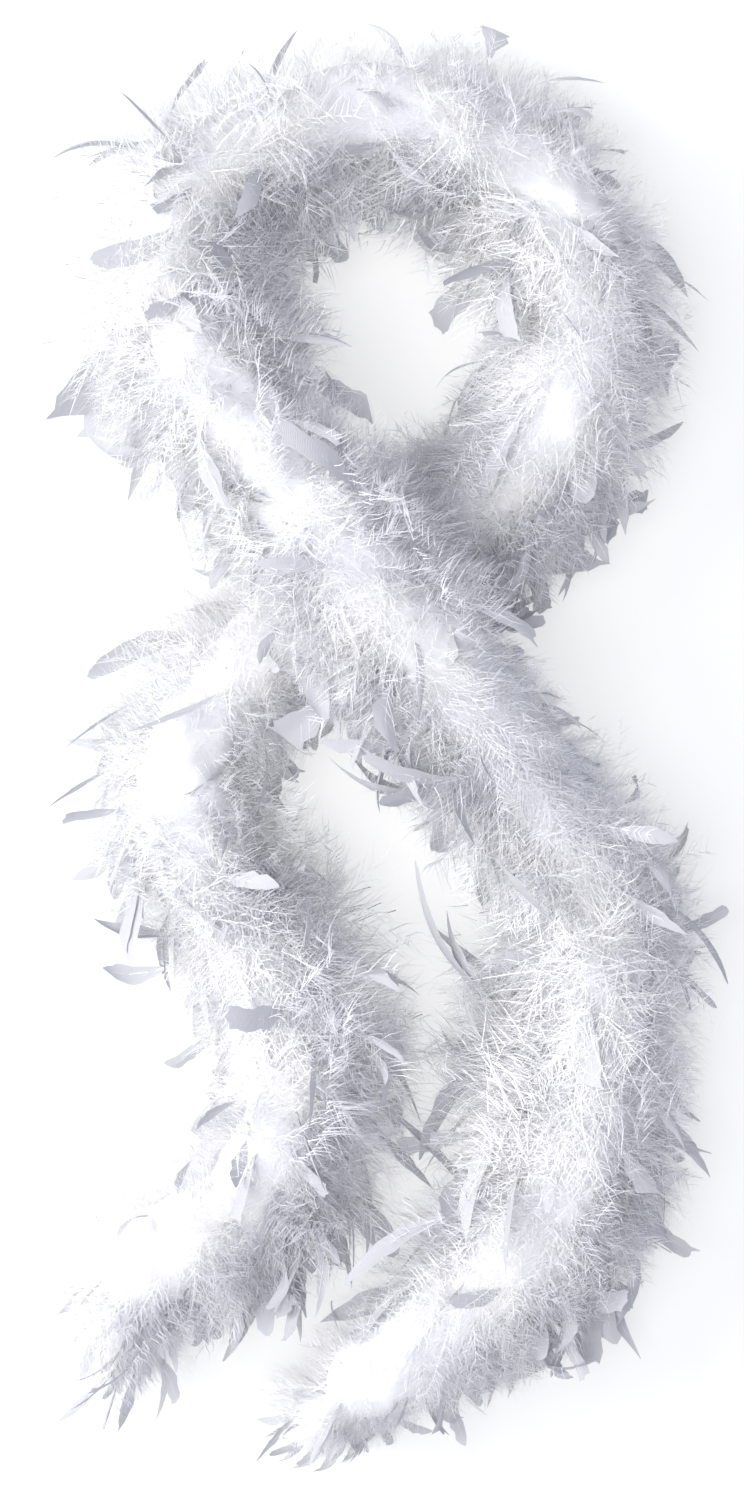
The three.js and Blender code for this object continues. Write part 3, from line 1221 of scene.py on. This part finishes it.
@dataclass
class CordCore:
    """The twisted core cord and the thread that binds the quills to it, in one stretch.

    Knots are the pieces tied in the cord's end, where the stretch has one.
    """

    strand: Strand
    stretch: Stretch
    knots: list[bpy.types.Object]
    cord_radius: float = 0.002
    plies: int = 3
    quill_radius: float = 0.00055
    quill_length: float = 0.011
    quills_per_metre: float = 900.0
    binding_radius: float = 0.0042
    lay_length: float = 0.011
    thread_radius: float = 0.00032
    thread_pitch: float = 0.0026
    end_room: float = 0.0276
    bare_end: float = 0.0395

    def build(self, finishes: Finishes) -> Iterator[bpy.types.Object]:
        """Makes and attaches the cord, the quills on it and the thread round them.

        Args:
            finishes: The boa's finishes.

        Yields:
            Each piece.
        """
        start = max(self.stretch.start, self.end_room)
        end = min(self.stretch.end, self.strand.length - self.end_room)
        ply = self.cord_radius * 0.54
        plies = [
            self._helix(start, end, self.lay_length, self.cord_radius - ply, turn / self.plies)
            for turn in range(self.plies)
        ]
        cord = make_tubes(f"cord_{self.stretch.label}", plies, ply, 8)
        piece = self._attach(link_piece(cord, [finishes.cotton]))
        line = self.strand.at(np.linspace(start, end, 40))["place"]
        tuple(line[-1] if self.stretch.start == 0 else line[0])
        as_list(self.knots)
        yield piece
        bound_from = max(start, self.bare_end)
        bound_to = min(end, self.strand.length - self.bare_end)
        dice = np.random.default_rng(500 + self.stretch.number)
        quills = []
        for _ in range(round((bound_to - bound_from) * self.quills_per_metre)):
            at = dice.uniform(bound_from, bound_to - self.quill_length - 0.001)
            place = at + self.quill_length, 0.5, self.cord_radius + 0.0009
            quills.append(self._helix(at, *place, dice.uniform(), 3))
        mesh = make_tubes(f"quill_roots_{self.stretch.label}", quills, self.quill_radius, 4)
        yield self._attach(link_piece(mesh, [finishes.quill]))
        around = self.binding_radius - self.thread_radius
        thread = self._helix(bound_from, bound_to, self.thread_pitch, around, 0)
        mesh = make_tubes(f"binding_{self.stretch.label}", [thread], self.thread_radius, 4)
        yield self._attach(link_piece(mesh, [finishes.thread]))

    def _helix(
        self, start: float, end: float, pitch: float, radius: float, turn: float, points: int = 0
    ) -> np.ndarray:
        """A helix round the cord.

        Args:
            start: Where it starts along the cord.
            end: Where it ends.
            pitch: Length of one turn.
            radius: Distance from the cord's middle.
            turn: Where it starts round the cord, in turns.
            points: How many points, or 0 for eleven a turn.

        Returns:
            The helix's points in the row frame.
        """
        count = points or max(3, round((end - start) / pitch * 11))
        along = np.linspace(start, end, count)
        angle = math.tau * (along / pitch + turn)
        return self.strand.lay(np.column_stack([radius * np.sin(angle), along, radius * np.cos(angle)]))

    def _attach(self, piece: bpy.types.Object) -> bpy.types.Object:
        """Attaches the piece."""
        self.stretch.attach(piece, self.strand)
        return piece


@dataclass
class TailEnd:
    """A tail's end: the cord's knot and small loop past the last feathers, and the whipping before them."""

    strand: Strand
    name: str
    body: str
    turned: bool
    loop_reach: float = 0.017
    loop_width: float = 0.011
    loop_radius: float = 0.0014
    knot_radius: float = 0.005
    whipping_from: float = 0.0296
    whipping_to: float = 0.0386
    whipping_radius: float = 0.0034
    whipping_turns: int = 12
    thread_radius: float = 0.00044
    knot_cord_radius: float = 0.00165

    def build(self, finishes: Finishes) -> Iterator[bpy.types.Object]:
        """Makes and attaches the pieces of this end.

        Args:
            finishes: The boa's finishes.

        Yields:
            Each piece.
        """
        turn = np.linspace(0, math.tau, 41)
        half = self.loop_width / 2 - self.loop_radius
        loop = self._strand_line(
            half * np.sin(turn) * (1 - 0.25 * np.cos(turn)),
            self.loop_reach / 2 + (self.loop_reach / 2 - self.loop_radius) * -np.cos(turn),
            0.0003 * np.sin(2 * turn),
        )
        yield self._piece("end_loop", loop, self.loop_radius, finishes.cotton)
        knot = self._knot_line()
        yield self._piece("end_knot", knot, self.knot_cord_radius, finishes.cotton)
        turns = np.linspace(0, 1, 150)
        angle = math.tau * self.whipping_turns * turns
        around = self.whipping_radius - self.thread_radius - 0.00001
        along = self.whipping_from + (self.whipping_to - self.whipping_from) * turns
        whipping = self._strand_line(around * np.sin(angle), along, around * np.cos(angle))
        yield self._piece("end_whipping", whipping, self.thread_radius, finishes.thread)

    def _knot_line(self) -> np.ndarray:
        """An overhand knot's line, as a trefoil flattened along the cord.

        Returns:
            The line's points in the row frame.
        """
        turn = np.linspace(0, math.tau, 73)
        size = self.knot_radius - self.knot_cord_radius
        x = size * (np.sin(turn) + 2 * np.sin(2 * turn)) / 3
        z = size * (np.cos(turn) - 2 * np.cos(2 * turn)) / 3
        along = self.loop_reach + self.knot_radius + 0.0003 - size * 0.62 * np.sin(3 * turn)
        return self._strand_line(x, along, z)

    def _strand_line(self, side: np.ndarray, along: np.ndarray, up: np.ndarray) -> np.ndarray:
        """Points near this end of the cord, from its very end inwards."""
        distance = self.strand.length - along if self.turned else along
        return self.strand.lay(np.column_stack([side, distance, up]))

    def _piece(
        self, kind: str, line: np.ndarray, radius: float, material: bpy.types.Material
    ) -> bpy.types.Object:
        """Makes one piece of the end, which stands for its CAD node.

        Args:
            kind: The node's name, without the tail's.
            line: The points that its strand follows.
            radius: The strand's radius.
            material: Its finish.

        Returns:
            The piece.
        """
        node = f"{kind}_{self.name}"
        piece = link_piece(make_tubes(f"{node}_cord", [line], radius, 8), [material])
        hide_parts(node)
        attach(piece, self.body)
        return piece


@dataclass
class Studio:
    """The plain pale floor, soft light from the upper left, and the camera straight above."""

    finishes: Finishes
    view_height: float = 0.7921
    middle: tuple[float, float] = (-0.00655, -0.00974)
    lens: float = 85.0
    sensor: float = 36.0
    floor_half: float = 40.0

    def build(self) -> None:
        """Makes the camera, the floor, the lamps and the sky."""
        self._make_camera()
        self._make_floor()
        self._make_lamp("key_light", (-3.7, 0.8, 2.5), 2.2, 212.0, (1.0, 0.98, 0.955))
        self._make_lamp("top_light", (-0.7, -0.4, 3.6), 2.4, 122.0, (1.0, 0.985, 0.965))
        world = bpy.data.worlds.new("studio")
        world.use_nodes = True
        sky = world.node_tree.nodes["Background"]
        sky.inputs["Color"].default_value = (0.66, 0.74, 1.0, 1)
        sky.inputs["Strength"].default_value = 0.39
        bpy.context.scene.world = world
        bpy.context.scene.view_settings.view_transform = "Standard"

    def _make_camera(self) -> None:
        """Makes the camera, level with the loop up and square to the floor."""
        data = bpy.data.cameras.new("camera")
        data.lens, data.sensor_width = self.lens, self.sensor
        camera = bpy.data.objects.new("camera", data)
        distance = self.view_height / 2 / (self.sensor / 2 / self.lens)
        camera.location = (*self.middle, distance + 0.06)
        bpy.context.scene.collection.objects.link(camera)
        bpy.context.scene.camera = camera

    def _make_floor(self) -> None:
        """Makes the floor at the height of the boa's underside."""
        bm = bmesh.new()
        bmesh.ops.create_grid(bm, x_segments=1, y_segments=1, size=self.floor_half)
        mesh = bpy.data.meshes.new("floor")
        bm.to_mesh(mesh)
        bm.free()
        link_piece(mesh, [self.finishes.floor])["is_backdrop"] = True

    @staticmethod
    def _make_lamp(
        name: str,
        place: tuple[float, float, float],
        size: float,
        power: float,
        colour: tuple[float, float, float],
    ) -> None:
        """Makes a square soft lamp that faces the boa's middle.

        Args:
            name: The lamp's name.
            place: Where it hangs, in metres.
            size: The length of its sides.
            power: Its power in watts.
            colour: Its colour.
        """
        data = bpy.data.lights.new(name, "AREA")
        data.size, data.energy, data.color = size, power, colour
        lamp = bpy.data.objects.new(name, data)
        lamp.location = place
        lamp.rotation_euler = (-Vector(place)).to_track_quat("-Z", "Y").to_euler()
        bpy.context.scene.collection.objects.link(lamp)


def write_sizes() -> None:
    """Works out the CAD model's box and the visual model's box, as lists of corners."""
    boxes = {"cad": CAD_BOX, "visual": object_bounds()}
    sizes = {name: [list(corner) for corner in box] for name, box in boxes.items()}


def report(pieces: Iterator[bpy.types.Object]) -> list[bpy.types.Object]:
    """Builds some pieces, and reports each of them.

    Args:
        pieces: The pieces, as a sub-assembly makes them.

    Returns:
        The same pieces.
    """
    made = list(pieces)
    for piece in made:
        log.info("%s: %d faces", piece.name, len(piece.data.polygons))
    return made


def main() -> None:
    """Builds the studio, the cords and then the plume stretch by stretch, and reports each piece."""
    logging.basicConfig(level=logging.INFO, format="%(message)s")
    finishes = Finishes()
    Studio(finishes).build()
    strand = Strand()
    stretches = make_stretches(strand)
    knots = {}
    for name, stretch, turned in (("left_tail", stretches[0], False), ("right_tail", stretches[-1], True)):
        tail = TailEnd(strand, name, stretch.body, turned)
        knots[stretch.number] = report(tail.build(finishes))[:2]
    for stretch in stretches:
        core = CordCore(strand, stretch, knots.get(stretch.number, []))
        cord, _, binding = report(core.build(finishes))
        if stretch is not stretches[-1]:
            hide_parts(f"core_cord_{stretch.label}")
            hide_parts(f"quill_binding_{stretch.label}")
    stock = FeatherStock()
    for stretch in stretches:
        report(iter([UnderDown(strand, stretch).build(finishes)]))
        down, _ = report(Plumage(strand, stretch, stock, finishes).build())
        if stretch is not stretches[-1]:
            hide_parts(f"plumage_{stretch.label}")
    write_sizes()


if __name__ == "__main__":
    main()
